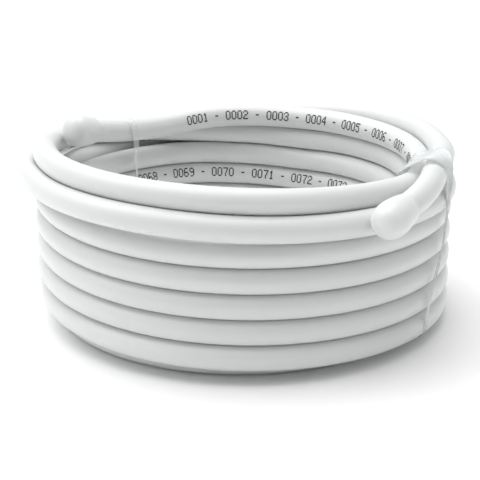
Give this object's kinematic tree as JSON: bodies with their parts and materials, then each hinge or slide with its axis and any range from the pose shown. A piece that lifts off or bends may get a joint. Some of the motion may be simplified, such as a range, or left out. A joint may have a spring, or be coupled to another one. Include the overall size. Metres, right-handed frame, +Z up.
{
  "type": "coaxial cable coil",
  "caption": "Round coil of white coaxial cable, lying flat, wound in two nested layers, with soft domed caps on both cut ends and two ties of clear film round the turns.",
  "frame": {"origin": "middle of the whole coil's footprint, on the surface that it lies on", "axes": "+Z up along the coil's axis, -Y the side that shows the lower cable end beside the right-hand tie, +X to the right from that side"},
  "size_m": [0.1246, 0.1218, 0.0522],
  "materials": {
    "cable_jacket": "satin white PVC jacket",
    "end_cap": "soft moulded white PVC",
    "tie_film": "clear crumpled polyethylene film"
  },
  "bodies": {
    "root": {"coax_cable_coil": "cable_jacket", "cable_end_inner": "cable_jacket", "cable_end_outer": "cable_jacket", "end_cap_inner": "end_cap", "end_cap_outer": "end_cap", "film_tie_left": "tie_film", "film_tie_right": "tie_film"}
  },
  "joints": []
}
